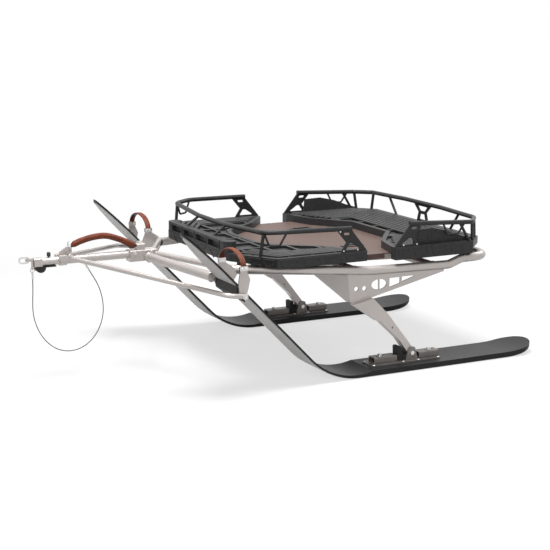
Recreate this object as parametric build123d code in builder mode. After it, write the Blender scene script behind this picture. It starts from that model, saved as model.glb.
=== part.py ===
import os
from math import cos, radians, sin, tan

from build123d import *

# Snowmobile cargo sled, millimetres: X towards the hitch, Y to the left, Z up, skis on Z = 0.
# The origin is on the floor under the middle of the sled's length and width.

# Stations along the sled are given forward of the rear bolt of the ski feet.
rear_bolt_x = -569.0

# Skis
ski_gauge = 1000.0
ski_width = 195.0
ski_depth = 26.0
ski_tip_depth = 10.0
sole_depth = 3.0
sole_margin = 9.0
ski_flat_rear = -350.0
ski_flat_front = 390.0
ski_bend_radius = 330.0
ski_rise = 46.0
ski_tip_x = 1150.0
ski_tip_length = 150.0
ski_thinning = 60.0
tail_thinning = 12.0
tip_share = 0.3
tail_length = 167.0
tail_rise = 45.0
tail_round = 95.0
tail_overrun = 12.0
tip_overrun = 14.0

# Feet under the legs
foot_base_depth = 4.0
foot_base_width = 96.0
foot_rear = -38.0
foot_front = 308.0
foot_box_width = 50.0
foot_box_height = 27.0
front_box_start = 172.0
front_box_end = 284.0
rear_box_start = -38.0
rear_box_end = 62.0
foot_wall = 4.0
slot_length = 34.0
slot_width = 14.0
front_slot_x = 245.0
ear_height = 56.0
ear_length = 60.0

# Legs and their bolts
pivot_x = 100.0
pivot_above_ski = 34.0
leg_width = 46.0
leg_wall = 4.0
leg_end_radius = 18.0
bolt_diameter = 12.0
bolt_head = 20.0
bolt_head_height = 6.0
side_play = 0.5

# Main frame tube
frame_tube = 38.0
frame_wall = 3.0
frame_half_width = 500.0
frame_front_half_width = 358.0
frame_front_x = 890.0
frame_rear_x = -300.0
frame_corner_radius = 75.0

# Side plates and the arched plate between them
side_plate_depth = 6.0
plate_front_x = 405.0
plate_rear_x = -70.0
arch_plate_depth = 5.0
arch_rise = 70.0

# Deck, trays and what carries them
deck_level = 490.0
deck_sheet = 4.0
deck_margin = 45.0
deck_half_width = frame_half_width - deck_margin
deck_front_x = 772.0
deck_rear_x = -260.0
deck_lip = 18.0
deck_rail_half_gauge = 300.0
deck_rail_width = 8.0
cross_tube = 32.0
cross_wall = 2.5
tray_wall = 5.0
tray_rib = 14.0
pocket_depth = 10.0
tray_height = 32.0
tray_overhang = 22.0
tray_half_width = frame_half_width + tray_overhang
tray_skirt_width = 40.0
front_skirt_drop = 11.5
rear_skirt_drop = 22.0
rib_pitch = 106.0
tray_strut_rod = 16.0
front_wall_height = 78.0
front_wall_depth = 34.0

# Rack rails
rail_tube = 20.0
rail_setback = 12.0
rail_half_width = tray_half_width - rail_setback
rail_draw_in = 16.0
rail_corner_half = rail_half_width - 61
rail_level = 619.0
bracket_depth = 6.0
hook_rod = 9.0

# Front beams, stirrups and straps
beam_tube = 38.0
beam_wall = 3.0
inner_tube = 25.0
socket_front_x = 1182.0
socket_rear_x = 1062.0
socket_width = 54.0
socket_height = 48.0
socket_drop = 6.0
socket_bore_depth = 60.0
stirrup_x = 936.0
stirrup_half_gap = 98.5
stirrup_depth = 6.0
stirrup_top = 506.0
stirrup_bolt_level = 406.0
stirrup_bolt_diameter = 10.0
strap_station = 932.0
strap_width = 24.0
strap_depth = 5.0
strap_rise = 58.0
clamp_height = 18.0
clamp_depth = 12.0
saddle_depth = 30.0
saddle_gap = 0.3

# Drawbar, hitch and stays
bar_tube = 34.0
bar_wall = 3.0
bar_level = 492.0
nose_x = 1560.0
nose_length = 34.0
nose_height = 36.0
tongue_length = 32.0
tongue_depth = 10.0
tongue_width = 22.0
link_rod = 6.0
link_length = 44.0
link_height = 28.0
swivel_play = 1.0
bumper_radius = 21.0
bumper_width = 30.0
bumper_plate = 4.0
collar_x = 1470.0
collar_length = 30.0
collar_wall = 5.0
fit = 0.2
stay_tube = 20.0
stay_wall = 2.0
handle_diameter = 26.0
handle_end_x = 1148.0
ring_radius = 17.0
ring_rod = 5.0
cable_diameter = 4.0
cable_ring_radius = 9.0
cable_ring_rod = 4.0
ferrule_diameter = 8.0
ferrule_length = 25.0


def fore(distance):
    """The X of a station given forward of the rear bolt."""
    return distance + rear_bolt_x


def straight_tube(start, end, outside, wall):
    """A straight round tube between two points."""
    run = Vector(*end) - Vector(*start)
    with BuildPart() as made:
        with BuildSketch(Plane(origin=start, z_dir=run)):
            Circle(outside / 2)
            Circle(outside / 2 - wall, mode=Mode.SUBTRACT)
        extrude(amount=run.length)
    return made.part


def straight_bar(start, end, outside):
    """A straight round bar between two points."""
    run = Vector(*end) - Vector(*start)
    with BuildPart() as made:
        with BuildSketch(Plane(origin=start, z_dir=run)):
            Circle(outside / 2)
        extrude(amount=run.length)
    return made.part


def bent_bar(points, radii, outside, wall=0):
    """A round bar or tube along straight runs joined by tangent arcs."""
    with BuildPart() as made:
        with BuildLine() as route:
            FilletPolyline(*points, radius=radii)
        with BuildSketch(Plane(origin=route.line @ 0, z_dir=route.line % 0)):
            Circle(outside / 2)
            if wall:
                Circle(outside / 2 - wall, mode=Mode.SUBTRACT)
        sweep()
    return made.part


def side_plane(y):
    """A plane square across the sled, whose own axes are X and Z."""
    return Plane(origin=(0, y, 0), x_dir=(1, 0, 0), z_dir=(0, -1, 0))


def cross_plane(x):
    """A plane square to the length, whose own axes are Y and Z."""
    return Plane(origin=(x, 0, 0), x_dir=(0, 1, 0), z_dir=(1, 0, 0))


def mirrored(points):
    """A route drawn on the left from front to middle, carried on round to the right."""
    return points + [(x, -y, z) for x, y, z in reversed(points)]


ski_left_y = ski_gauge / 2
slope = tan(radians(ski_rise))
bend_start_x = fore(ski_flat_front)
bend_end_x = bend_start_x + ski_bend_radius * sin(radians(ski_rise))
bend_end_z = ski_bend_radius * (1 - cos(radians(ski_rise)))
tip_x = fore(ski_tip_x)
tip_z = bend_end_z + (tip_x - bend_end_x) * slope
tail_x = fore(ski_flat_rear) - tail_length


def sole_level(x):
    """The height of the ski's underside where it rises straight."""
    return bend_end_z + (x - bend_end_x) * slope


def ski_blank(inset, margin):
    """The ski's side view cut to its plan view, with its underside raised and its edge set in."""
    lean = radians(ski_rise)
    thin = ski_tip_depth - inset
    low_radius = ski_bend_radius - inset
    turn_end = (bend_start_x + low_radius * sin(lean), ski_bend_radius - low_radius * cos(lean))
    tip_low = (tip_x + tip_overrun - inset * sin(lean), tip_z + tip_overrun * slope + inset * cos(lean))
    tip_high = (tip_low[0] - thin * sin(lean), tip_low[1] + thin * cos(lean))
    top_end = (turn_end[0] - thin * sin(lean), turn_end[1] + thin * cos(lean))
    top_front = (bend_start_x - ski_thinning, ski_depth)
    top_rear = (fore(ski_flat_rear) + tail_thinning, ski_depth)
    flat_rear = (fore(ski_flat_rear), inset)
    tail_low = (tail_x - tail_overrun, tail_rise + inset)
    tail_high = (tail_x - tail_overrun, tail_rise + ski_tip_depth)
    half = ski_width / 2 - margin
    tip = tip_x - margin
    tail = tail_x + margin
    shoulder = tip - ski_tip_length
    nose = tip - ski_tip_length / 20
    with BuildPart() as made:
        with BuildSketch(side_plane(ski_left_y + ski_width)):
            with BuildLine():
                Line(flat_rear, (bend_start_x, inset))
                RadiusArc((bend_start_x, inset), turn_end, -low_radius)
                Line(turn_end, tip_low)
                Line(tip_low, tip_high)
                Line(tip_high, top_end)
                TangentArc(top_end, top_front, tangent=(-cos(lean), -sin(lean)))
                Line(top_front, top_rear)
                TangentArc(top_rear, tail_high, tangent=(-1, 0))
                Line(tail_high, tail_low)
                TangentArc(flat_rear, tail_low, tangent=(-1, 0))
            make_face()
        extrude(amount=2 * ski_width)
        with BuildSketch(Plane.XY):
            with BuildLine():
                Line((tail + tail_round, ski_left_y + half), (shoulder, ski_left_y + half))
                TangentArc(
                    (shoulder, ski_left_y + half), (nose, ski_left_y + half * tip_share), tangent=(1, 0)
                )
                ThreePointArc(
                    (nose, ski_left_y + half * tip_share),
                    (tip, ski_left_y),
                    (nose, ski_left_y - half * tip_share),
                )
                TangentArc(
                    (shoulder, ski_left_y - half), (nose, ski_left_y - half * tip_share), tangent=(1, 0)
                )
                Line((shoulder, ski_left_y - half), (tail + tail_round, ski_left_y - half))
                ThreePointArc(
                    (tail + tail_round, ski_left_y - half),
                    (tail, ski_left_y),
                    (tail + tail_round, ski_left_y + half),
                )
            make_face()
        extrude(amount=tip_z + ski_depth, mode=Mode.INTERSECT)
    return made.part


def plate(plane, points, depth, corner=0, windows=(), window_corner=0):
    """A flat plate cut to an outline, with windows, its middle on the plane."""
    with BuildPart() as made:
        with BuildSketch(plane) as outline:
            Polygon(*points, align=None)
            if corner:
                fillet(outline.vertices(), corner)
        extrude(amount=depth / 2, both=True)
        for window in windows:
            with BuildSketch(plane) as opening:
                Polygon(*window, align=None)
                if window_corner:
                    fillet(opening.vertices(), window_corner)
            extrude(amount=depth, both=True, mode=Mode.SUBTRACT)
    return made.part


# Skis: a black moulded body over a thin pale running sole.
with BuildPart() as ski_left:
    add(ski_blank(sole_depth, 0))

ski_core = ski_blank(sole_depth, -ski_width)
with BuildPart() as ski_sole_left:
    add(ski_blank(0, sole_margin))
    add(ski_core, mode=Mode.SUBTRACT)


def on_both_sides(left):
    """The same piece on the right, as a mirror image across the middle of the sled."""
    with BuildPart() as right:
        mirror(left.part, about=Plane.XZ)
    return right


# Feet: a flanged base, two slotted box sections and a pair of ears for the leg's bolt.
foot_floor = ski_depth
box_floor = foot_floor + foot_base_depth
pivot_level = foot_floor + pivot_above_ski
ear_inside = leg_width / 2 + side_play
with BuildPart() as foot_left:
    with BuildSketch(Plane.XY.offset(foot_floor)):
        with Locations((fore((foot_rear + foot_front) / 2), ski_left_y)):
            RectangleRounded(foot_front - foot_rear, foot_base_width, 12)
    extrude(amount=foot_base_depth)
    for start, end in ((front_box_start, front_box_end), (rear_box_start, rear_box_end)):
        with BuildSketch(cross_plane(fore(start))):
            with Locations((ski_left_y, box_floor + foot_box_height / 2)):
                RectangleRounded(foot_box_width, foot_box_height, 3)
                Rectangle(
                    foot_box_width - 2 * foot_wall, foot_box_height - 2 * foot_wall, mode=Mode.SUBTRACT
                )
        extrude(amount=end - start)
    with BuildSketch(Plane.XY.offset(box_floor + foot_box_height)):
        with Locations((fore(front_slot_x), ski_left_y), (rear_bolt_x, ski_left_y)):
            SlotOverall(slot_length, slot_width)
    extrude(amount=-foot_wall, mode=Mode.SUBTRACT)
    for ear_y in (ski_left_y - ear_inside - foot_wall, ski_left_y + ear_inside):
        with BuildSketch(side_plane(ear_y + foot_wall)):
            with BuildLine():
                FilletPolyline(
                    (fore(pivot_x - ear_length / 2), box_floor),
                    (fore(pivot_x - ear_length / 4), box_floor + ear_height),
                    (fore(pivot_x + ear_length / 4), box_floor + ear_height),
                    (fore(pivot_x + ear_length / 2), box_floor),
                    radius=12,
                )
                Line(
                    (fore(pivot_x + ear_length / 2), box_floor), (fore(pivot_x - ear_length / 2), box_floor)
                )
            make_face()
            with Locations((fore(pivot_x), pivot_level)):
                Circle(bolt_diameter / 2, mode=Mode.SUBTRACT)
        extrude(amount=foot_wall)

# Legs: raked box sections that taper from the side plate down to the bolt.
leg_outline = [
    (fore(385), 296),
    (fore(291), 315),
    (fore(218), 240),
    (fore(pivot_x - leg_end_radius), pivot_level + 6),
    (fore(pivot_x), pivot_level - leg_end_radius),
    (fore(pivot_x + leg_end_radius), pivot_level + 2),
    (fore(166), 128),
    (fore(262), 218),
    (fore(268), 214),
]
with BuildPart() as leg_left:
    with BuildSketch(side_plane(ski_left_y)) as leg_side:
        Polygon(*leg_outline, align=None)
    extrude(amount=leg_width / 2, both=True)
    with BuildSketch(side_plane(ski_left_y)):
        add(leg_side.sketch.faces())
        offset(amount=-leg_wall, kind=Kind.INTERSECTION)
    extrude(amount=leg_width / 2 - leg_wall, both=True, mode=Mode.SUBTRACT)
    with BuildSketch(side_plane(ski_left_y)):
        with Locations((fore(pivot_x), pivot_level)):
            Circle(bolt_diameter / 2)
        with Locations((fore(197), 180)):
            Circle(3.5)
    extrude(amount=leg_width, both=True, mode=Mode.SUBTRACT)

with BuildPart() as foot_bolt_left:
    with BuildSketch(side_plane(ski_left_y)):
        with Locations((fore(pivot_x), pivot_level)):
            Circle(bolt_diameter / 2)
    extrude(amount=ear_inside + foot_wall, both=True)
    for head_y in (ski_left_y - ear_inside - foot_wall, ski_left_y + ear_inside + foot_wall + bolt_head_height):
        with BuildSketch(side_plane(head_y)):
            with Locations((fore(pivot_x), pivot_level)):
                RegularPolygon(bolt_head / 2, 6)
        extrude(amount=bolt_head_height)

# Rubber stops between the feet and the legs.
with BuildPart() as bump_stop_left:
    with BuildSketch(side_plane(ski_left_y)) as stop_side:
        Polygon(
            (fore(134), box_floor),
            (fore(166), box_floor),
            (fore(168), box_floor + 62),
            (fore(150), box_floor + 62),
            align=None,
        )
        fillet(stop_side.vertices(), 5)
    extrude(amount=leg_width / 2 - 2, both=True)

# Main frame: one bent tube, open in front, from its left end round the back to its right end.
# Columns: station, half width, level, bend radius.
frame_bends = [
    (frame_front_x, frame_front_half_width, 464.0, 0),
    (520.0, frame_half_width, 452.0, 300.0),
    (300.0, frame_half_width, 431.0, 500.0),
    (-95.0, frame_half_width, 423.0, 60.0),
    (-160.0, frame_half_width, 445.0, 60.0),
    (frame_rear_x, frame_half_width, 447.0, frame_corner_radius),
]
frame_points = mirrored([(fore(x), y, z) for x, y, z, bend in frame_bends])
frame_radii = [bend for x, y, z, bend in frame_bends[1:]]
frame_radii = frame_radii + frame_radii[::-1]
with BuildPart() as perimeter_frame:
    add(bent_bar(frame_points, frame_radii, frame_tube, frame_wall))
frame_solid = bent_bar(frame_points, frame_radii, frame_tube)


def frame_at(station):
    """The half width and level of the frame tube's centre at a station between two bends."""
    for (x1, y1, z1, r1), (x2, y2, z2, r2) in zip(frame_bends, frame_bends[1:]):
        if x2 <= station <= x1:
            share = (x1 - station) / (x1 - x2)
            return y1 + (y2 - y1) * share, z1 + (z2 - z1) * share
    return frame_bends[-1][1:3]


def frame_level(station):
    """The level of the frame tube's centre at a station."""
    return frame_at(station)[1]


# Cross tubes, coped to the frame tube, and the strips on them that carry the deck.
cross_stations = (600.0, 365.0, -20.0)
cross_solids = []
for x in cross_stations:
    half, level = frame_at(x)
    cross_solids.append(straight_bar((fore(x), -half, level), (fore(x), half, level), cross_tube))
with BuildPart() as cross_tubes:
    for solid in cross_solids:
        add(solid)
    for x in cross_stations:
        with BuildSketch(side_plane(0)):
            with Locations((fore(x), frame_level(x))):
                Circle(cross_tube / 2 - cross_wall)
        extrude(amount=frame_half_width, both=True, mode=Mode.SUBTRACT)
    add(frame_solid, mode=Mode.SUBTRACT)

deck_floor = deck_level - deck_sheet
with BuildPart() as deck_rails:
    for y in (-deck_rail_half_gauge, deck_rail_half_gauge):
        with BuildSketch(side_plane(y)):
            Polygon(
                (fore(frame_rear_x), deck_floor),
                (fore(deck_front_x), deck_floor),
                (fore(deck_front_x), deck_floor - 14),
                (fore(cross_stations[0]), frame_level(cross_stations[0])),
                (fore(cross_stations[1]), frame_level(cross_stations[1])),
                (fore(cross_stations[2]), frame_level(cross_stations[2])),
                (fore(frame_rear_x), frame_level(frame_rear_x)),
                align=None,
            )
        extrude(amount=deck_rail_width / 2, both=True)
    for solid in cross_solids:
        add(solid, mode=Mode.SUBTRACT)
    add(frame_solid, mode=Mode.SUBTRACT)

# Side plates under the frame tube, with two holes and a row of truss windows.
plate_outline = [
    (fore(plate_front_x), frame_level(plate_front_x)),
    (fore(396), 314),
    (fore(385), 296),
    (fore(291), 315),
    (fore(plate_rear_x), 397),
    (fore(plate_rear_x), frame_level(plate_rear_x)),
]
plate_windows = [
    [(fore(203), 391), (fore(151), 391), (fore(151), 365), (fore(203), 351)],
    [(fore(142), 392), (fore(66), 392), (fore(142), 370)],
]
with BuildPart() as side_plate_left:
    add(plate(side_plane(ski_left_y), plate_outline, side_plate_depth, 0, plate_windows, 2.5))
    with BuildSketch(side_plane(ski_left_y)):
        with Locations((fore(364), 359), (fore(325), 358)):
            Circle(10)
        with Locations((fore(254), 369)):
            Ellipse(37, 22)
            Rectangle(5, 50, mode=Mode.SUBTRACT)
    extrude(amount=side_plate_depth, both=True, mode=Mode.SUBTRACT)
    add(frame_solid, mode=Mode.SUBTRACT)

# Arched plate across the sled between the side plates.
arch_x = fore(plate_front_x - 12)
arch_half = ski_left_y - side_plate_depth / 2
with BuildPart() as arch_plate:
    with BuildSketch(cross_plane(arch_x)):
        with BuildLine():
            Line((-arch_half, frame_level(plate_front_x) - 4), (-arch_half, 304))
            Line((-arch_half, 304), (-arch_half + 30, 304))
            Line((-arch_half + 30, 304), (-150, 304 + arch_rise))
            Line((-150, 304 + arch_rise), (150, 304 + arch_rise))
            Line((150, 304 + arch_rise), (arch_half - 30, 304))
            Line((arch_half - 30, 304), (arch_half, 304))
            Line((arch_half, 304), (arch_half, frame_level(plate_front_x) - 4))
            Line((arch_half, frame_level(plate_front_x) - 4), (-arch_half, frame_level(plate_front_x) - 4))
        make_face()
    extrude(amount=arch_plate_depth / 2, both=True)
    add(frame_solid, mode=Mode.SUBTRACT)
    for solid in cross_solids:
        add(solid, mode=Mode.SUBTRACT)

# Deck: one painted sheet with its sides folded down and a pair of oval hand holes.
with BuildPart() as deck_panel:
    with BuildSketch(Plane.XY.offset(deck_floor)):
        with Locations((fore((deck_front_x + deck_rear_x) / 2), 0)):
            Rectangle(deck_front_x - deck_rear_x, 2 * deck_half_width)
        with Locations((fore(235), 240), (fore(235), -240)):
            SlotOverall(96, 36, mode=Mode.SUBTRACT)
    extrude(amount=deck_sheet)
    with BuildSketch(Plane.XY.offset(deck_floor)):
        with Locations((fore(250), deck_half_width - 2), (fore(250), 2 - deck_half_width)):
            Rectangle(100, 4)
    extrude(amount=-deck_lip)

with BuildPart() as deck_handles:
    with BuildSketch(Plane.XY.offset(deck_level)):
        with Locations((fore(235), 240), (fore(235), -240)):
            SlotOverall(110, 50)
            SlotOverall(82, 22, mode=Mode.SUBTRACT)
    extrude(amount=4)
    with BuildSketch(Plane.XY.offset(deck_level)):
        with Locations((fore(235), 240), (fore(235), -240)):
            SlotOverall(95.4, 35.4)
            SlotOverall(82, 22, mode=Mode.SUBTRACT)
    extrude(amount=-18)

# Trays: moulded pans with ribbed floors round a waisted opening over the deck.
tray_rim = 20.0
front_tray_side = [(325, tray_half_width), (742, tray_half_width), (862, 330), (876, 285)]
front_tray_inside = [(640, 110), (613, 197), (440, 334), (345, 455), (325, 480)]
rear_tray_side = [(185, tray_half_width), (-205, tray_half_width), (-292, 430)]
rear_tray_inside = [(10, 150), (60, 215), (145, 334), (185, 480)]
tray_top = deck_level + tray_height


def tray_outline(outside, inside):
    """A tray's outline from the left half of its outer and inner edges."""
    half = [(fore(x), y) for x, y in inside + outside]
    return half + [(x, -y) for x, y in reversed(half)]


def tray(outside, inside, skirt_drop):
    """A ribbed pan with a wide rim and a skirt under its sides."""
    with BuildPart() as made:
        with BuildSketch(Plane.XY.offset(deck_level)) as pan:
            Polygon(*tray_outline(outside, inside), align=None)
        extrude(amount=tray_height)
        with BuildSketch(Plane.XY.offset(tray_top)):
            add(pan.sketch.faces())
            offset(amount=-tray_rim, kind=Kind.INTERSECTION, mode=Mode.REPLACE)
            with GridLocations(rib_pitch, 1, 13, 1):
                Rectangle(tray_rib, 2 * tray_half_width, mode=Mode.SUBTRACT)
            with GridLocations(1, 128, 1, 7):
                Rectangle(2 * ski_tip_x, tray_rib, mode=Mode.SUBTRACT)
        extrude(amount=-pocket_depth, mode=Mode.SUBTRACT)
        with BuildSketch(Plane.XY.offset(deck_level)):
            add(pan.sketch.faces())
            offset(amount=-tray_wall, kind=Kind.INTERSECTION, mode=Mode.REPLACE)
        extrude(amount=tray_height - pocket_depth - tray_wall, mode=Mode.SUBTRACT)
        start = outside[0][0]
        end = outside[1][0]
        with BuildSketch(Plane.XY.offset(deck_level)):
            for side in (-1, 1):
                with Locations((fore((start + end) / 2), side * (tray_half_width - tray_skirt_width / 2))):
                    Rectangle(abs(end - start), tray_skirt_width)
        extrude(amount=-skirt_drop)
    return made.part


wall_top = deck_level + front_wall_height
with BuildPart() as front_tray:
    add(tray(front_tray_side, front_tray_inside, front_skirt_drop))
    with BuildSketch(Plane.XY.offset(tray_top)):
        with Locations((fore(876 - front_wall_depth / 2), 0)):
            Rectangle(front_wall_depth, 570)
        with Locations((fore(846), 285), (fore(846), -285)):
            Circle(30)
    extrude(amount=wall_top - tray_top)
    with BuildSketch(cross_plane(fore(876))):
        with GridLocations(130, 1, 4, 1):
            with Locations((0, (tray_top + wall_top) / 2)):
                RectangleRounded(104, 26, 6)
    extrude(amount=-14, mode=Mode.SUBTRACT)

with BuildPart() as rear_tray:
    add(tray(rear_tray_side, rear_tray_inside, rear_skirt_drop))

# Rails: black tubes over the trays, on stamped end brackets, corner posts and small struts.
# Columns: station, half width, level, bend radius.
front_rail_bends = [
    (395.0, rail_half_width, rail_level, 0),
    (690.0, rail_half_width - rail_draw_in, 624.0, 120.0),
    (772.0, rail_corner_half, 620.0, 45.0),
    (797.0, rail_corner_half - 319, 610.0, 250.0),
]
rear_rail_bends = [
    (112.0, rail_half_width, rail_level, 0),
    (-205.0, rail_half_width, 602.0, 34.0),
    (-268.0, rail_half_width - 78, 605.0, 34.0),
    (-281.0, rail_half_width - 360, 609.0, 200.0),
]


def rail(bends):
    """One rail, bent round from its left end to its right end."""
    points = mirrored([(fore(x), y, z) for x, y, z, bend in bends])
    radii = [bend for x, y, z, bend in bends[1:]]
    return bent_bar(points, radii + radii[::-1], rail_tube)


front_rail_bar = rail(front_rail_bends)
rear_rail_bar = rail(rear_rail_bends)


def end_bracket(end_x, inward):
    """A waisted bracket under a rail's end: inward is the way that the rail runs on from there."""

    def at(reach, level):
        return (fore(end_x + inward * reach), level)

    outline = [at(0, 614), at(68, 614), at(24, 562), at(50, tray_top), at(-74, tray_top)]
    windows = [
        [at(12, 603), at(40, 603), at(32, 593), at(6, 593)],
        [at(-3, 557), at(10, 557), at(28, tray_top + 8), at(-44, tray_top + 8)],
    ]
    return plate(side_plane(rail_half_width), outline, bracket_depth, 0, windows, 2.5)


front_bracket = end_bracket(front_rail_bends[0][0], 1)
rear_bracket = end_bracket(rear_rail_bends[0][0], -1)
with BuildPart() as rail_brackets:
    for made in (front_bracket, rear_bracket):
        add(made)
        mirror(made, about=Plane.XZ)
    add(front_rail_bar, mode=Mode.SUBTRACT)
    add(rear_rail_bar, mode=Mode.SUBTRACT)

# Columns: start and end of each strut on the left, as station, half width and level, and its thickness.
front_struts = [
    ((768, rail_corner_half - 3, 615), (778, rail_corner_half - 9, tray_top), 14),
    ((796, 140, 606), (850, 140, wall_top), 12),
]
rear_struts = [
    ((-205, rail_half_width - 2, 603), (-214, rail_half_width - 10, tray_top), 14),
    ((-140, rail_half_width, 604), (-190, rail_half_width, tray_top), 12),
    ((-281, 300, 606), (-281, 230, tray_top), 12),
    ((-270, rail_half_width - 82, 605), (-266, rail_half_width - 70, tray_top), 14),
]


def struts(table):
    """The struts of a table, on both sides."""
    with BuildPart() as made:
        for start, end, thickness in table:
            for side in (-1, 1):
                with BuildSketch(
                    Plane(
                        origin=(fore(start[0]), side * start[1], start[2]),
                        z_dir=(end[0] - start[0], side * (end[1] - start[1]), end[2] - start[2]),
                    )
                ):
                    Circle(thickness / 2)
                extrude(amount=(Vector(*end) - Vector(*start)).length + 6)
        with BuildSketch(Plane.XY.offset(tray_top)):
            Rectangle(2 * ski_tip_x, 2 * ski_tip_x)
        extrude(amount=-60, mode=Mode.SUBTRACT)
    return made.part


def hook(front, rear, drop):
    """A hanging loop of round rod between two places on the left rail."""
    start = Vector(fore(front[0]), front[1], front[2])
    run = Vector(fore(rear[0]), rear[1], rear[2]) - start
    down = Vector(0, 0, drop)
    route = [start, start + run * 0.22 - down, start + run * 0.7 - down, start + run]
    return bent_bar(route, [hook_rod, hook_rod], hook_rod)


front_hook = hook((766, rail_corner_half + 1, 616), (688, rail_half_width - rail_draw_in, 618), 50)
rear_hook = hook((-55, rail_half_width, 606), (-165, rail_half_width, 600), 46)
with BuildPart() as front_rail:
    add(front_rail_bar)
    add(struts(front_struts))
    add(front_hook)
    mirror(front_hook, about=Plane.XZ)
    add(front_tray.part, mode=Mode.SUBTRACT)

centre_post = plate(
    cross_plane(fore(-281)),
    [(-75, 604), (75, 604), (32, 566), (46, tray_top), (-46, tray_top), (-32, 566)],
    bracket_depth,
    0,
    [[(-42, 594), (42, 594), (20, 572), (-20, 572)], [(-18, 558), (18, 558), (26, 532), (-26, 532)]],
    2.5,
)
with BuildPart() as rear_rail:
    add(rear_rail_bar)
    add(struts(rear_struts))
    add(rear_hook)
    mirror(rear_hook, about=Plane.XZ)
    add(centre_post)

# Front beams from the drawbar's socket to the stirrups, and the lighter pair behind them.
stirrup_inner_y = ski_left_y - stirrup_half_gap - stirrup_depth
beam_start = (fore(1110), 0, 480)
beam_end = (fore(952), ski_left_y - 40, 443)
inner_start = (fore(1075), 0, 489)
inner_end = (fore(890), frame_front_half_width + 12, 470)
socket_top = bar_level - socket_drop + socket_height / 2
with BuildPart() as drawbar_socket:
    with BuildSketch(cross_plane(fore(socket_rear_x))):
        with Locations((0, bar_level - socket_drop)):
            RectangleRounded(socket_width, socket_height, 5)
    extrude(amount=socket_front_x - socket_rear_x)
    with BuildSketch(cross_plane(fore(socket_front_x))):
        with Locations((0, bar_level)):
            Circle(bar_tube / 2)
    extrude(amount=-socket_bore_depth, mode=Mode.SUBTRACT)
    with BuildSketch(cross_plane(fore(handle_end_x - fit))):
        with Locations((0, socket_top + 12)):
            RectangleRounded(34, 25, 4)
    extrude(amount=-36)
with BuildPart() as socket_block:
    with BuildSketch(cross_plane(fore(socket_rear_x))):
        with Locations((0, bar_level - socket_drop)):
            Rectangle(socket_width, socket_height)
    extrude(amount=socket_front_x - socket_rear_x)


def cut_at_stirrups(bar):
    """A bar pair with what reaches into the stirrups and the socket taken off."""
    with BuildPart() as made:
        add(bar)
        mirror(bar, about=Plane.XZ)
        with BuildSketch(Plane.XY.offset(300)):
            for side in (-1, 1):
                with Locations((fore(950), side * (stirrup_inner_y + 100))):
                    Rectangle(600, 200)
        extrude(amount=300, mode=Mode.SUBTRACT)
        add(socket_block.part, mode=Mode.SUBTRACT)
    return made.part


with BuildPart() as front_beam:
    add(cut_at_stirrups(straight_tube(beam_start, beam_end, beam_tube, beam_wall)))

with BuildPart() as inner_beam:
    add(cut_at_stirrups(straight_bar(inner_start, inner_end, inner_tube)))
    add(frame_solid, mode=Mode.SUBTRACT)

# Stirrups: a pair of plates beside each ski, the inner one larger for the beams.
outer_stirrup = [(946, stirrup_top), (919, stirrup_top), (904, 470), (913, 428), (921, 404), (936, 393),
                 (950, 404), (955, 455)]
inner_stirrup = [(946, stirrup_top), (919, stirrup_top), (882, 482), (866, 448), (894, 404), (920, 392),
                 (936, 390), (952, 402), (972, 440), (962, 464)]
stirrup_plates = [
    (stirrup_inner_y + stirrup_depth / 2, inner_stirrup),
    (ski_left_y + stirrup_half_gap + stirrup_depth / 2, outer_stirrup),
]
with BuildPart() as stirrup_left:
    for y, outline in stirrup_plates:
        with BuildSketch(side_plane(y)):
            Polygon(*[(fore(x), z) for x, z in outline], align=None)
            with Locations((fore(stirrup_x), stirrup_bolt_level)):
                Circle(stirrup_bolt_diameter / 2, mode=Mode.SUBTRACT)
        extrude(amount=stirrup_depth / 2, both=True)

stirrup_outside = stirrup_half_gap + stirrup_depth
with BuildPart() as stirrup_bolt_left:
    with BuildSketch(side_plane(ski_left_y)):
        with Locations((fore(stirrup_x), stirrup_bolt_level)):
            Circle(stirrup_bolt_diameter / 2)
    extrude(amount=stirrup_outside + 24, both=True)

# Saddles: black rubber blocks across the stirrups, each cradling its ski from below.
saddle_front = 962.0
saddle_rear = 924.0
with BuildPart() as saddle_left:
    with BuildSketch(side_plane(ski_left_y)):
        Polygon(
            (fore(saddle_front), sole_level(fore(saddle_front)) - saddle_gap),
            (fore(saddle_rear), sole_level(fore(saddle_rear)) - saddle_gap),
            (fore(saddle_rear), sole_level(fore(saddle_rear)) - saddle_depth),
            (fore(saddle_front), sole_level(fore(saddle_front)) - saddle_depth - 6),
            align=None,
        )
    extrude(amount=stirrup_half_gap - saddle_gap, both=True)
    add(stirrup_bolt_left.part, mode=Mode.SUBTRACT)

# Straps: leather arches over the skis, clamped to the stirrups' tops.
strap_foot = stirrup_top + clamp_height - 6
strap_half = stirrup_half_gap + stirrup_depth / 2
strap_x = fore(strap_station)
with BuildPart() as strap_left:
    with BuildSketch(cross_plane(strap_x)):
        with Locations((ski_left_y, strap_foot)):
            Ellipse(strap_half + strap_depth / 2, strap_rise + strap_depth / 2)
            Ellipse(strap_half - strap_depth / 2, strap_rise - strap_depth / 2, mode=Mode.SUBTRACT)
        with Locations((ski_left_y, strap_foot - strap_rise)):
            Rectangle(4 * strap_half, 2 * strap_rise, mode=Mode.SUBTRACT)
    extrude(amount=strap_width / 2, both=True)

with BuildPart() as strap_clamps_left:
    for side in (-1, 1):
        with BuildSketch(Plane.XY.offset(stirrup_top)):
            with Locations((strap_x, ski_left_y + side * strap_half)):
                RectangleRounded(strap_width + 10, clamp_depth, 2)
        extrude(amount=clamp_height)
    add(strap_left.part, mode=Mode.SUBTRACT)

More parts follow.
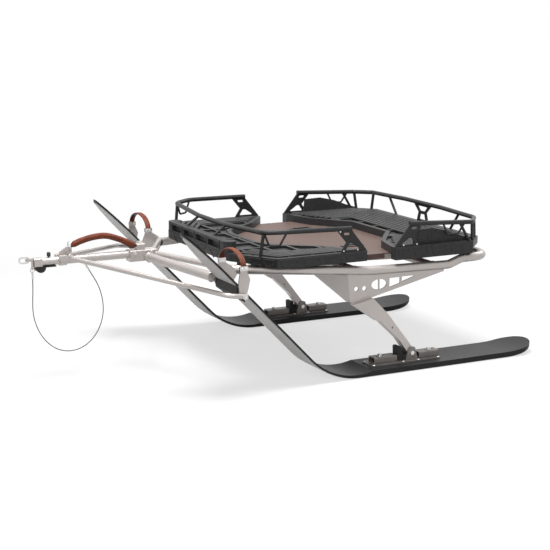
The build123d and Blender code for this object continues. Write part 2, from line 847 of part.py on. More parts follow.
# Short struts that carry the front of the tray from the frame tube.
tray_strut = straight_bar(
    (fore(850), frame_front_half_width + 14, deck_level - 20), (fore(800), 290, deck_level - 12), tray_strut_rod
)
with BuildPart() as tray_struts:
    add(tray_strut)
    mirror(tray_strut, about=Plane.XZ)
    add(frame_solid, mode=Mode.SUBTRACT)
    with BuildSketch(Plane.XY.offset(deck_level)):
        Rectangle(2 * ski_tip_x, 2 * ski_tip_x)
    extrude(amount=60, mode=Mode.SUBTRACT)

# Drawbar and the nose that closes it.
with BuildPart() as drawbar_tube:
    add(
        straight_tube(
            (fore(socket_front_x - socket_bore_depth), 0, bar_level), (fore(nose_x), 0, bar_level), bar_tube, bar_wall
        )
    )

tongue_end = nose_x + nose_length + tongue_length
link_x = nose_x + nose_length + 20
link_hole = link_rod * 2**0.5 + 2 * swivel_play
tongue_level = bar_level + 12
with BuildPart() as drawbar_nose:
    with BuildSketch(cross_plane(fore(nose_x))):
        with Locations((0, bar_level)):
            RectangleRounded(nose_height, nose_height, 6)
    extrude(amount=nose_length)
    with BuildSketch(Plane.XY.offset(tongue_level - tongue_depth / 2)):
        with Locations((fore(nose_x + nose_length + tongue_length / 2 - 1), 0)):
            RectangleRounded(tongue_length + 2, tongue_width, 5)
        with Locations((fore(link_x), 0)):
            Circle(link_hole / 2, mode=Mode.SUBTRACT)
    extrude(amount=tongue_depth)
    with BuildSketch(cross_plane(fore(nose_x + nose_length + 3))):
        with Locations((0, bar_level - 10)):
            SlotOverall(42, 18, rotation=90)
        with Locations((0, bar_level - 22)):
            Circle(4.5, mode=Mode.SUBTRACT)
        with Locations((0, bar_level + 14)):
            Rectangle(30, 14, mode=Mode.SUBTRACT)
    extrude(amount=4)

# Tow link: an oval ring that swivels about the upright hole in the nose's tongue.
with BuildPart() as tow_link:
    with BuildSketch(side_plane(link_height / 2)):
        with Locations((fore(link_x) + link_length / 2 - link_rod / 2, tongue_level)):
            RectangleRounded(link_length, link_height, 11)
            RectangleRounded(
                link_length - 2 * link_rod, link_height - 2 * link_rod, 5, mode=Mode.SUBTRACT
            )
    extrude(amount=link_height)
    with BuildSketch(Plane.XY.offset(tongue_level - link_height)):
        with Locations((fore(link_x) + link_length / 2 - link_rod / 2, 0)):
            Rectangle(link_length, link_rod)
    extrude(amount=2 * link_height, mode=Mode.INTERSECT)

# Small ring in the tab under the tongue, which the safety cable hangs from.
tab_x = nose_x + nose_length + 5
cable_ring_level = bar_level - 22 - cable_ring_radius
with BuildPart() as cable_ring:
    with BuildSketch(Plane.XY.offset(cable_ring_level)):
        with Locations((fore(tab_x) + cable_ring_radius, 0)):
            Circle(cable_ring_rod / 2)
    revolve(axis=Axis((fore(tab_x), 0, cable_ring_level), (0, 1, 0)), revolution_arc=360)

# Rubber bumper and its strap under the nose, and the black pull knob on top.
bar_underside = bar_level - nose_height / 2
with BuildPart() as nose_bumper:
    with BuildSketch(side_plane(0)):
        with Locations((fore(1545), bar_underside - bumper_plate / 2)):
            Rectangle(88, bumper_plate)
        with Locations((fore(1566), bar_underside - bumper_plate)):
            Circle(bumper_radius)
        with Locations((fore(1566), bar_underside + bumper_radius)):
            Rectangle(4 * bumper_radius, 2 * bumper_radius, mode=Mode.SUBTRACT)
    extrude(amount=bumper_width / 2, both=True)

knob_x = fore(1528)
with BuildPart() as pin_knob:
    with BuildSketch(Plane.XY.offset(bar_level)):
        with Locations((knob_x, 0)):
            Circle(4)
    extrude(amount=bar_tube / 2 + 8)
    with BuildSketch(Plane.XY.offset(bar_level + bar_tube / 2 + 4)):
        with Locations((knob_x, 0)):
            Circle(8)
    extrude(amount=18)
    fillet(pin_knob.edges().filter_by(GeomType.CIRCLE).group_by(Axis.Z)[-1], 6)
    add(straight_bar((fore(1500), 0, bar_level), (fore(1556), 0, bar_level), bar_tube), mode=Mode.SUBTRACT)

# Collar round the drawbar, with a lug on each side for the stays and one on top for the ring.
lug_hole = (fore(1440), 532)
with BuildPart() as stay_collar:
    with BuildSketch(cross_plane(fore(collar_x - collar_length / 2))):
        with Locations((0, bar_level)):
            Circle(bar_tube / 2 + fit + collar_wall)
    extrude(amount=collar_length)
    for side in (-1, 1):
        with BuildSketch(side_plane(side * 29 + 9)):
            with Locations((fore(collar_x), bar_level + 12)):
                RectangleRounded(44, 20, 5)
        extrude(amount=18)
    with BuildSketch(side_plane(0)) as top_lug:
        Polygon(
            (fore(1456), bar_level),
            (fore(1484), bar_level),
            (fore(1484), bar_level + 34),
            (fore(1452), bar_level + 54),
            (fore(1430), bar_level + 50),
            (fore(1430), bar_level + 30),
            align=None,
        )
        fillet(top_lug.vertices(), 3)
        with Locations(lug_hole):
            Circle(ring_rod / 2 + 1, mode=Mode.SUBTRACT)
    extrude(amount=4, both=True)
    with BuildSketch(cross_plane(fore(collar_x - 100))):
        with Locations((0, bar_level)):
            Circle(bar_tube / 2 + fit)
    extrude(amount=200, mode=Mode.SUBTRACT)

with BuildPart() as strap_ring:
    with BuildSketch(side_plane(0)):
        with Locations((lug_hole[0], lug_hole[1] + 2 * ring_radius)):
            Circle(ring_rod / 2)
    revolve(
        axis=Axis((lug_hole[0], 0, lug_hole[1] + ring_radius), (1, 0, 0)), revolution_arc=360
    )

# Leather pull handle, arched from the ring back to the socket.
handle_route = [
    (fore(1438), 0, 546),
    (fore(1392), 0, 563),
    (fore(1338), 0, 577),
    (fore(1280), 0, 580),
    (fore(1226), 0, 563),
    (fore(1182), 0, 540),
    (fore(1138), 0, 513),
]
with BuildPart() as pull_handle:
    add(bent_bar(handle_route, [60, 60, 60, 60, 60], handle_diameter))
    with BuildSketch(Plane.XY.offset(480)):
        with Locations((fore(handle_end_x) - 100, 0)):
            Rectangle(200, 100)
    extrude(amount=150, mode=Mode.SUBTRACT)
    with BuildSketch(Plane.XY.offset(400)):
        with Locations((fore(1120), 0)):
            Rectangle(200, 100)
    extrude(amount=socket_top + fit - 400, mode=Mode.SUBTRACT)
    add(strap_ring.part, mode=Mode.SUBTRACT)
    add(stay_collar.part, mode=Mode.SUBTRACT)

# Stays from the collar out to the stirrup bolts.
stay_route = [
    (fore(1450), 27, bar_level + 12),
    (fore(1000), ski_left_y + stirrup_outside + 12, stirrup_bolt_level + 8),
    (fore(stirrup_x - 12), ski_left_y + stirrup_outside + 12, stirrup_bolt_level - 1),
]
with BuildPart() as stay_left:
    add(bent_bar(stay_route, [60], stay_tube, stay_wall))
    add(stay_collar.part, mode=Mode.SUBTRACT)
    add(stirrup_bolt_left.part, mode=Mode.SUBTRACT)

# Safety cable, hanging in a loop from the ring's ferrule back to the one under the drawbar.
ring_ferrule_top = cable_ring_level - cable_ring_radius - cable_ring_rod / 2 - fit
cable_points = [
    (fore(tab_x), 0, ring_ferrule_top - ferrule_length),
    (fore(tab_x), 0, 381),
    (fore(1602), 0, 335),
    (fore(1603), 0, 288),
    (fore(1595), 0, 240),
    (fore(1576), 0, 193),
    (fore(1547), 0, 151),
    (fore(1508), 0, 119),
    (fore(1461), 0, 103),
    (fore(1412), 0, 106),
    (fore(1367), 0, 127),
    (fore(1332), 0, 163),
    (fore(1308), 0, 209),
    (fore(1297), 0, 260),
    (fore(1300), 0, 312),
    (fore(1313), 0, 361),
    (fore(1334), 0, 404),
    (fore(1359), 0, 444),
]
cable_radii = []
for before, point, after in zip(cable_points, cable_points[1:], cable_points[2:]):
    run_in = Vector(*point) - Vector(*before)
    run_out = Vector(*after) - Vector(*point)
    half_turn = radians(run_in.get_angle(run_out)) / 2
    cable_radii.append(0.45 * min(run_in.length, run_out.length) / tan(half_turn))
print("cable arc radii:", [round(radius) for radius in cable_radii])
with BuildPart() as safety_cable:
    with BuildLine() as cable_line:
        FilletPolyline(*cable_points, radius=cable_radii)
    with BuildSketch(Plane(origin=cable_line.line @ 0, z_dir=cable_line.line % 0)):
        Circle(cable_diameter / 2)
    sweep()
print("cable length:", round(sum(edge.length for edge in cable_line.edges()), 1))

# Swaged ferrules at both ends of the cable.
cable_end = Vector(*cable_points[-1])
end_way = (cable_end - Vector(*cable_points[-2])).normalized()
bar_solid = straight_bar((fore(1300), 0, bar_level), (fore(1450), 0, bar_level), bar_tube)
with BuildPart() as cable_ferrules:
    with BuildSketch(Plane.XY.offset(ring_ferrule_top - ferrule_length)):
        with Locations((fore(tab_x), 0)):
            Circle(ferrule_diameter / 2)
    extrude(amount=ferrule_length)
    with BuildSketch(Plane(origin=cable_end, z_dir=end_way)):
        Circle(ferrule_diameter / 2)
    extrude(amount=44)
    add(bar_solid, mode=Mode.SUBTRACT)
    with BuildSketch(Plane.XY.offset(bar_level)):
        with Locations((fore(1400), 0)):
            Rectangle(200, 100)
    extrude(amount=100, mode=Mode.SUBTRACT)

pieces = {
    "drawbar_tube": drawbar_tube,
    "drawbar_nose": drawbar_nose,
    "tow_link": tow_link,
    "cable_ring": cable_ring,
    "cable_ferrules": cable_ferrules,
    "safety_cable": safety_cable,
    "nose_bumper": nose_bumper,
    "pin_knob": pin_knob,
    "stay_collar": stay_collar,
    "strap_ring": strap_ring,
    "pull_handle": pull_handle,
    "drawbar_socket": drawbar_socket,
    "front_beam": front_beam,
    "inner_beam": inner_beam,
    "perimeter_frame": perimeter_frame,
    "cross_tubes": cross_tubes,
    "deck_rails": deck_rails,
    "arch_plate": arch_plate,
    "tray_struts": tray_struts,
    "deck_panel": deck_panel,
    "deck_handles": deck_handles,
    "front_tray": front_tray,
    "rear_tray": rear_tray,
    "front_rail": front_rail,
    "rear_rail": rear_rail,
    "rail_brackets": rail_brackets,
}
left_pieces = {
    "stay": stay_left,
    "stirrup": stirrup_left,
    "stirrup_bolt": stirrup_bolt_left,
    "saddle": saddle_left,
    "strap": strap_left,
    "strap_clamps": strap_clamps_left,
    "side_plate": side_plate_left,
    "leg": leg_left,
    "foot": foot_left,
    "foot_bolt": foot_bolt_left,
    "bump_stop": bump_stop_left,
    "ski": ski_left,
    "ski_sole": ski_sole_left,
}
for name, left in left_pieces.items():
    pieces[name + "_left"] = left
    pieces[name + "_right"] = on_both_sides(left)

os.makedirs("parts", exist_ok=True)
for name, piece in pieces.items():
    piece.part.label = name
    export_step(piece.part, "parts/" + name + ".step")
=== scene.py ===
import math

import bmesh
import bpy
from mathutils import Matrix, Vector


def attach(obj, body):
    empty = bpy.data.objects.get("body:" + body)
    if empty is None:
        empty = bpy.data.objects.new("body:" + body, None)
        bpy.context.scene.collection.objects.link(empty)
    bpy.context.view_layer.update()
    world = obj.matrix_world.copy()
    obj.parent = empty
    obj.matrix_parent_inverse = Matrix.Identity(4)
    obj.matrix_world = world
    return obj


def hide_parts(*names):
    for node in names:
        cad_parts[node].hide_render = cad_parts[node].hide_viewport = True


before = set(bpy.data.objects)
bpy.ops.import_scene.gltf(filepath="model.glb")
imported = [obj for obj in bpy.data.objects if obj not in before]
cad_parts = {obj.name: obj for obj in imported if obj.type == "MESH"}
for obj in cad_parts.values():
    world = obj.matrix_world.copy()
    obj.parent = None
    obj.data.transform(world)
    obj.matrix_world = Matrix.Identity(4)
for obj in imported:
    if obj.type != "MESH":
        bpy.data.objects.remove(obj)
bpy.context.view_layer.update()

# The camera stands ahead of the sled on its left, a little above the rails and looking slightly down.
# Its place and lens repeat the photograph's view for a square frame whose middle is unshifted.
camera_place = Vector((2.6739, 5.4420, 1.5844))
camera_way = Vector((-0.4423, -0.8743, -0.2001))
photo_width = 550
focal_pixels = 1400
film_width = 36
clip_end = 200

lens = bpy.data.cameras.new("camera")
lens.sensor_width = film_width
lens.lens = lens.sensor_width * focal_pixels / photo_width
lens.clip_end = clip_end
camera = bpy.data.objects.new("camera", lens)
camera.location = camera_place
camera.rotation_mode = "QUATERNION"
camera.rotation_quaternion = camera_way.to_track_quat("-Z", "Y")
bpy.context.scene.collection.objects.link(camera)
bpy.context.scene.camera = camera


# The safety cable is a thin jacketed steel cable that hangs in one loop under the drawbar,
# from the small ring under the nose back to the tube, with a swaged ferrule at each end.
rear_bolt_x = -0.569


def fore(distance):
    """The X of a station given forward of the rear bolt of the ski feet."""
    return distance + rear_bolt_x


class Wire:
    """A shader socket, with arithmetic on values written as expressions."""

    def __init__(self, tree, socket=None):
        self.tree = tree
        self.socket = socket

    def node(self, kind, settings=(), sockets=(), output=0):
        """Any node: its settings first, then the values or links of its sockets."""
        made = self.tree.nodes.new(kind)
        for name, value in dict(settings).items():
            setattr(made, name, value)
        for name, value in dict(sockets).items():
            if isinstance(value, Wire):
                self.tree.links.new(value.socket, made.inputs[name])
            elif isinstance(value, tuple) and len(value) == 3 and made.inputs[name].type == "RGBA":
                made.inputs[name].default_value = (*value, 1)
            else:
                made.inputs[name].default_value = value
        return Wire(self.tree, made.outputs[output])

    def math(self, operation, first, second=0.0):
        return self.node("ShaderNodeMath", {"operation": operation}, {0: first, 1: second})

    def __add__(self, other):
        return self.math("ADD", self, other)

    __radd__ = __add__

    def __sub__(self, other):
        return self.math("SUBTRACT", self, other)

    def __rsub__(self, other):
        return self.math("SUBTRACT", other, self)

    def __mul__(self, other):
        return self.math("MULTIPLY", self, other)

    __rmul__ = __mul__

    def __pow__(self, other):
        return self.math("POWER", self, other)

    def __rpow__(self, other):
        return self.math("POWER", other, self)

    def mix(self, dark, light):
        """A colour between two, by this value."""
        return self.node(
            "ShaderNodeMix", {"data_type": "RGBA", "clamp_factor": True}, {0: self, 6: dark, 7: light}, 2
        )

    def noise(self, scale, detail=3.0, roughness=0.5):
        """Cloudy variation at so many lumps a metre, from about 0.3 to 0.7."""
        sockets = {"Vector": self, "Scale": scale, "Detail": detail, "Roughness": roughness}
        return self.node("ShaderNodeTexNoise", {}, sockets)

    def stretched(self, x, y, z):
        """This place drawn out or pressed along each way."""
        return self.node("ShaderNodeVectorMath", {"operation": "MULTIPLY"}, {0: self, 1: (x, y, z)})

    def bump(self, depth, strength=1.0):
        """A surface normal from this height, which is so many metres deep."""
        return self.node("ShaderNodeBump", {}, {"Strength": strength, "Distance": depth, "Height": self})

    def into(self, shader, socket):
        self.tree.links.new(self.socket, shader.inputs[socket])


def finish(name, constants):
    """A material with its constant sockets set, its shader, and the place on the surface."""
    material = bpy.data.materials.new(name)
    material.use_nodes = True
    shader = material.node_tree.nodes["Principled BSDF"]
    for socket, value in constants.items():
        shader.inputs[socket].default_value = value
    place = Wire(material.node_tree).node("ShaderNodeTexCoord", output=3)
    return material, shader, place


def dress(material, *names):
    """Gives CAD nodes a finish."""
    for name in names:
        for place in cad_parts[name].material_slots:
            place.material = material


def both(*names):
    """The left and right node of each name."""
    return [name + side for name in names for side in ("_left", "_right")]


def cable_finish():
    material, shader, place = finish("cable_jacket", {"Roughness": 0.4, "Specular IOR Level": 0.5})
    lay = place.noise(900, 2)
    lay.mix((0.050, 0.030, 0.026), (0.14, 0.090, 0.076)).into(shader, "Base Color")
    lay.bump(0.0004, 0.5).into(shader, "Normal")
    return material


cable_thickness = 0.004
cable_route = [
    (1.599, 0.4248), (1.599, 0.381), (1.602, 0.335), (1.603, 0.288), (1.595, 0.240), (1.576, 0.193),
    (1.547, 0.151), (1.508, 0.119), (1.461, 0.103), (1.412, 0.106), (1.367, 0.127), (1.332, 0.163),
    (1.308, 0.209), (1.297, 0.260), (1.300, 0.312), (1.313, 0.361), (1.334, 0.404), (1.359, 0.444),
]
cable_line = bpy.data.curves.new("safety_cable_line", "CURVE")
cable_line.dimensions = "3D"
cable_line.bevel_depth = cable_thickness / 2
cable_line.bevel_resolution = 3
cable_line.use_fill_caps = True
cable_spline = cable_line.splines.new("NURBS")
cable_spline.points.add(len(cable_route) - 1)
for point, (station, level) in zip(cable_spline.points, cable_route):
    point.co = (fore(station), 0, level, 1)
cable_spline.order_u = 3
cable_spline.use_endpoint_u = True
cable_spline.resolution_u = 8
cable = bpy.data.objects.new("hanging_cable", cable_line)
bpy.context.scene.collection.objects.link(cable)
cable_line.materials.append(cable_finish())
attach(cable, "root")
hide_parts("safety_cable")
fore(1.599)


# The welded frame, beams, legs, feet, stays and drawbar are all sprayed in one champagne silver,
# a fine metallic paint with a satin clear coat whose tone and gloss vary in broad clouds.
def frame_paint_finish():
    constants = {"Metallic": 0.62, "Coat Weight": 0.25, "Coat Roughness": 0.22, "Specular IOR Level": 0.4}
    material, shader, place = finish("champagne_paint", constants)
    cloud = place.noise(5, 3)
    flake = place.noise(1800, 1)
    peel = place.noise(260, 2)
    (cloud * 0.7 + flake * 0.3).mix((0.40, 0.366, 0.346), (0.63, 0.584, 0.56)).into(shader, "Base Color")
    (cloud * 0.16 + peel * 0.1 + 0.27).into(shader, "Roughness")
    (peel * 0.7 + flake * 0.3).bump(0.0003, 0.35).into(shader, "Normal")
    return material


frame_paint = frame_paint_finish()
dress(
    frame_paint, "drawbar_tube", "drawbar_nose", "stay_collar", "drawbar_socket", "front_beam", "inner_beam",
    "perimeter_frame", "cross_tubes", "deck_rails", "arch_plate", "tray_struts",
    *both("stay", "stirrup", "side_plate", "leg"),
)


# The feet carry the same paint a shade darker and a little duller, with a fine speckle in its colour.
def foot_paint_finish():
    constants = {"Metallic": 0.6, "Specular IOR Level": 0.4}
    material, shader, place = finish("foot_paint", constants)
    cloud = place.noise(14, 4)
    grit = place.noise(600, 3, 0.7)
    (cloud * 0.6 + grit * 0.4).mix((0.13, 0.12, 0.115), (0.34, 0.315, 0.30)).into(shader, "Base Color")
    (grit * 0.25 + 0.28).into(shader, "Roughness")
    grit.bump(0.0003, 0.4).into(shader, "Normal")
    return material


dress(foot_paint_finish(), *both("foot"))


# Bright plated parts: the tow link, rings, ferrules, pivot bolts and the clamps at the strap ends.
# The zinc plate is smooth, slightly cloudy, and brushed by handling.
def plated_finish():
    material, shader, place = finish("zinc_plate", {"Metallic": 1.0, "Specular IOR Level": 0.5})
    cloud = place.noise(60, 3)
    fine = place.noise(700, 2)
    cloud.mix((0.50, 0.49, 0.48), (0.78, 0.77, 0.75)).into(shader, "Base Color")
    (fine * 0.2 + cloud * 0.15 + 0.14).into(shader, "Roughness")
    fine.bump(0.0002, 0.3).into(shader, "Normal")
    return material


zinc_plate = plated_finish()
dress(
    zinc_plate, "tow_link", "cable_ring", "cable_ferrules", "strap_ring",
    *both("stirrup_bolt", "strap_clamps", "foot_bolt"),
)


# Weld beads run round each place where a tube meets another, in even overlapping ripples.
# They are painted with the frame, and lie on the tubes' surfaces.
weld_bead = 0.0035
weld_ripple = 0.0006
weld_pitch = 0.004
sharp_edge = math.radians(38)


def new_piece(name, build, material, body="root"):
    """A mesh piece made by a function that fills a bmesh, riding on a body."""
    work = bmesh.new()
    build(work)
    bmesh.ops.recalc_face_normals(work, faces=work.faces)
    mesh = bpy.data.meshes.new(name)
    work.to_mesh(mesh)
    work.free()
    mesh.materials.append(material)
    mesh.shade_smooth()
    mesh.set_sharp_from_angle(angle=sharp_edge)
    piece = bpy.data.objects.new(name, mesh)
    bpy.context.scene.collection.objects.link(piece)
    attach(piece, body)
    return piece


def skin(work, rings, closed=False):
    """Faces between rings of points, which close on themselves or are capped at both ends."""
    for ring, after in zip(rings, rings[1:] + rings[:1] if closed else rings[1:]):
        for side in range(len(ring)):
            work.faces.new((ring[side - 1], ring[side], after[side], after[side - 1]))
    if not closed:
        work.faces.new(rings[0][::-1])
        work.faces.new(rings[-1])


def bead(work, loop, thickness, sides=8):
    """A rippled bead along a closed loop of points."""
    count = len(loop)
    rings = []
    for index, centre in enumerate(loop):
        way = (loop[(index + 1) % count] - loop[index - 1]).normalized()
        out = (centre - sum(loop, Vector()) / count).normalized()
        up = way.cross(out).normalized()
        out = up.cross(way)
        swell = thickness + weld_ripple * (index % 2)
        ring = []
        for side in range(sides):
            turn = math.tau * side / sides
            ring.append(work.verts.new(centre + (out * math.cos(turn) + up * math.sin(turn)) * swell))
        rings.append(ring)
    skin(work, rings, closed=True)


def saddle_loop(centre, small, large, run):
    """The closed line where a small tube that runs along Y meets a larger one that runs along X."""
    steps = int(math.tau * small / weld_pitch) * 2
    loop = []
    for step in range(steps):
        turn = math.tau * step / steps
        rise = small * math.sin(turn)
        reach = math.sqrt(large * large - rise * rise)
        loop.append(centre + Vector((small * math.cos(turn), -run * reach, rise)))
    return loop


def ring_loop(centre, way, radius):
    """A circle of points about a way."""
    steps = int(math.tau * radius / weld_pitch) * 2
    turned = Vector(way).to_track_quat("Z", "Y")
    return [
        Vector(centre) + turned @ Vector((radius * math.cos(t), radius * math.sin(t), 0))
        for t in [math.tau * step / steps for step in range(steps)]
    ]


frame_tube_radius = 0.019
cross_tube_radius = 0.016
# Columns: station, half width of the frame there and level of its centre.
cross_tube_places = [(0.600, 0.4693, 0.4565), (0.365, 0.5, 0.4372), (-0.020, 0.5, 0.4245)]
beam_start = Vector((1.110, 0, 0.480))
beam_run = Vector((-0.158, 0.46, -0.037))
beam_radius = 0.019
socket_reach = 0.036
beam_reach = 0.418


def weld_beads(work):
    for station, half, level in cross_tube_places:
        for side in (-1, 1):
            centre = Vector((fore(station), side * half, level))
            bead(work, saddle_loop(centre, cross_tube_radius, frame_tube_radius, side), weld_bead)
    for side in (-1, 1):
        way = Vector((beam_run.x, side * beam_run.y, beam_run.z)).normalized()
        start = Vector((fore(beam_start.x), beam_start.y, beam_start.z))
        for reach in (socket_reach, beam_reach):
            bead(work, ring_loop(start + way * reach, way, beam_radius), weld_bead)


new_piece("frame_welds", weld_beads, frame_paint)


# Bolts, nuts and rivets in bright zinc plate hold the ski feet, stirrups, rail brackets and drawbar.
# The hexagon heads are slightly domed and sit on a washer. Painted caps close the cut ends of the beams.
bolt_corner_round = 0.0006
bolt_shoulder = 0.86
bolt_crown = 0.4
washer_share = 0.08
# Columns: radius as a share of the size across the flats, and height as a share of the washer's.
washer_profile = [(0.72, 0), (0.74, 0.5), (0.70, 1)]
dome_steps = 6
dome_flat = 0.08


def spun(work, centre, way, profile, sides=24):
    """A closed turned form: the profile gives radius and height above the centre, from bottom to top."""
    turned = Vector(way).to_track_quat("Z", "Y")
    rings = []
    for radius, height in profile:
        ring = []
        for side in range(sides):
            turn = math.tau * side / sides
            spot = Vector((radius * math.cos(turn), radius * math.sin(turn), height))
            ring.append(work.verts.new(Vector(centre) + turned @ spot))
        rings.append(ring)
    skin(work, rings)


def hex_head(work, centre, way, across, height):
    """A washer and a hexagon head seated on a surface."""
    reach = across / math.sqrt(3)
    washer = across * washer_share
    edge = bolt_corner_round
    spun(work, centre, way, [(across * wide, washer * high) for wide, high in washer_profile])
    seat = Vector(centre) + Vector(way).normalized() * washer
    sides = [(reach - edge, 0), (reach, edge), (reach, height - edge * 2)]
    spun(work, seat, way, sides + [(reach * bolt_shoulder, height), (reach * bolt_crown, height)], sides=6)


def dome_head(work, centre, way, radius, height):
    """A low domed rivet or button head seated on a surface."""
    turns = [math.pi / 2 * step / dome_steps for step in range(dome_steps)]
    profile = [(radius * math.cos(turn), height * math.sin(turn)) for turn in turns]
    spun(work, centre, way, profile + [(radius * dome_flat, height)])


# Bolt and rivet sizes are pairs: the size across the flats or the radius, and the height.
box_bolt = (0.017, 0.008)
base_rivet = (0.006, 0.0035)
ski_middle = 0.5
foot_base_top = 0.030
foot_box_top = 0.057
box_bolt_stations = (0.245, 0.0)
base_rivet_stations = (-0.025, 0.075, 0.15, 0.295)
base_rivet_offset = 0.039


def foot_fasteners(work):
    for side in (-1, 1):
        for station in box_bolt_stations:
            hex_head(work, (fore(station), side * ski_middle, foot_box_top), (0, 0, 1), *box_bolt)
        for station in base_rivet_stations:
            for offset in (-base_rivet_offset, base_rivet_offset):
                place = (fore(station), side * ski_middle + offset, foot_base_top)
                dome_head(work, place, (0, 0, 1), *base_rivet)


stirrup_bolt_station = 0.936
stirrup_bolt_level = 0.406
stirrup_nut = (0.016, 0.007)
nut_sink = 0.0005
# Columns: distance of a stirrup's face from the sled's middle, and which way it looks.
stirrup_faces = [(0.629, 1), (0.371, -1)]


def stirrup_fasteners(work):
    for side in (-1, 1):
        for reach, way in stirrup_faces:
            place = (fore(stirrup_bolt_station), side * (reach - way * nut_sink), stirrup_bolt_level)
            hex_head(work, place, (0, side * way, 0), *stirrup_nut)


bracket_face = 0.513
bracket_rivet = (0.0038, 0.0024)
# Columns: station of a bracket, and which way its arm leans along the sled.
bracket_places = [(0.395, 1), (0.112, -1)]
# Columns: distance along the lean from the bracket's station, and level.
bracket_rivet_places = [(0.054, 0.609), (-0.030, 0.5265), (0.036, 0.5265)]


def bracket_fasteners(work):
    for side in (-1, 1):
        for station, inward in bracket_places:
            for reach, level in bracket_rivet_places:
                place = (fore(station + inward * reach), side * bracket_face, level)
                dome_head(work, place, (0, side, 0), *bracket_rivet)


# Columns: station, level, size across, height, and distance out from the middle of the drawbar.
drawbar_bolts = [
    (1.450, 0.516, 0.010, 0.004, 0.038),
    (1.160, 0.498, 0.011, 0.005, 0.027),
    (1.085, 0.498, 0.011, 0.005, 0.027),
]


def drawbar_fasteners(work):
    for side in (-1, 1):
        for station, level, across, height, reach in drawbar_bolts:
            hex_head(work, (fore(station), side * reach, level), (0, side, 0), across, height)


# The beam's end is given as station, distance from the sled's middle and level.
beam_end = (0.974, 0.3952, 0.4483)
# Columns: radius and height above the beam's end.
cap_profile = [(0.0186, -0.004), (0.0186, 0.0004), (0.016, 0.0022), (0.006, 0.0032)]


def beam_caps(work):
    """Domed plugs that close the beams where they are cut at the stirrups."""
    station, reach, level = beam_end
    for side in (-1, 1):
        spun(work, (fore(station), side * reach, level), (0, side, 0), cap_profile, sides=40)


new_piece("beam_caps", beam_caps, frame_paint)
new_piece("drawbar_bolts", drawbar_fasteners, zinc_plate)
new_piece("foot_fasteners", foot_fasteners, zinc_plate)
new_piece("stirrup_nuts", stirrup_fasteners, zinc_plate)
new_piece("bracket_rivets", bracket_fasteners, zinc_plate)


# The deck is one folded sheet in satin taupe paint, scuffed along its length by what slides over it.
# Its oval hand holes have black moulded liners.
def deck_finish():
    material, shader, place = finish("deck_paint", {"Specular IOR Level": 0.1})
    cloud = place.noise(3.5, 4)
    scuff = place.stretched(4, 60, 60).noise(5, 4, 0.7)
    grit = place.noise(900, 2)
    tone = cloud * 0.6 + scuff ** 3
    tone.mix((0.102, 0.069, 0.060), (0.196, 0.136, 0.120)).into(shader, "Base Color")
    (scuff * 0.35 + 0.30).into(shader, "Roughness")
    (grit * 0.5 + scuff * 0.5).bump(0.0004, 0.4).into(shader, "Normal")
    return material


dress(deck_finish(), "deck_panel")


# The trays are thick mouldings in charcoal plastic with a fine spark grain.
# Their colour is streaked a little paler at random, and moulded strips run round over their raised ribs,
# inside the edges.
def tray_finish():
    material, shader, place = finish("tray_plastic", {"Specular IOR Level": 0.3})
    grain = place.noise(1400, 2)
    cloud = place.noise(9, 4)
    scuff = place.stretched(14, 50, 14).noise(3, 5, 0.7)
    (cloud * 0.5 + scuff * 0.5).mix((0.011, 0.011, 0.012), (0.060, 0.059, 0.060)).into(shader, "Base Color")
    (cloud * 0.3 + 0.32).into(shader, "Roughness")
    (grain * 0.8 + scuff * 0.2).bump(0.0005, 0.5).into(shader, "Normal")
    return material


tray_plastic = tray_finish()
dress(tray_plastic, "front_tray", "rear_tray")

tray_top = 0.522
tray_half_width = 0.522
strake_half = 0.0085
strake_rise = 0.0042
strake_edge = 0.0024
strake_ramp = 0.014
strake_sink = 0.003
strake_crown = 0.72
# The front corner is cut from the first of these places to the second, given as station and half width.
chamfer_start = Vector((0.742, tray_half_width, 0))
chamfer_end = Vector((0.862, 0.330, 0))
chamfer_inward = Vector((-0.848, -0.53, 0))
chamfer_mitre = 0.554
chamfer_setback = Vector((-0.010, 0.016, 0))
# The rear corner is cut in the same way. Farther in than the last of these values, the strips turn square.
rear_corner_station = -0.205
rear_turn = (-0.292, 0.430)
rear_mitre = (0.431, 0.398)
square_from = 0.130
# Columns: distance in from the tray's outer edge, and the station where the strake starts.
front_strakes = [(0.040, 0.350), (0.066, 0.372), (0.092, 0.396), (0.118, 0.418)]
rear_strakes = [
    (0.036, 0.158), (0.062, 0.148), (0.088, 0.136), (0.114, 0.124), (0.140, 0.112),
    (0.166, 0.100), (0.192, 0.086), (0.218, 0.072), (0.244, 0.052),
]


def strake(work, path):
    """A raised strip over the tray's ribs along a path, mitred at its bends and ramped at its ends."""
    first = path[0].lerp(path[1], strake_ramp / (path[1] - path[0]).length)
    last = path[-1].lerp(path[-2], strake_ramp / (path[-2] - path[-1]).length)
    path = [path[0], first] + path[1:-1] + [last, path[-1]]
    rings = []
    for index, spot in enumerate(path):
        after = (path[min(index + 1, len(path) - 1)] - path[max(index, 1) - 1]).normalized()
        before = (spot - path[index - 1]).normalized() if index else after
        ahead = (path[index + 1] - spot).normalized() if index < len(path) - 1 else before
        way = (before + ahead).normalized()
        out = Vector((-way.y, way.x, 0)) / way.dot(ahead)
        ramped = index in (0, len(path) - 1)
        crown = tray_top + (strake_edge / 3 if ramped else strake_rise)
        shoulder = crown - (strake_edge / 4 if ramped else strake_edge)
        floor = tray_top - strake_sink
        half = [(1, floor), (1, shoulder), (strake_crown, crown)]
        section = [(-share, level) for share, level in half] + half[::-1]
        rings.append([
            work.verts.new(Vector((spot.x, spot.y, level)) + out * share * strake_half)
            for share, level in section
        ])
    skin(work, rings)


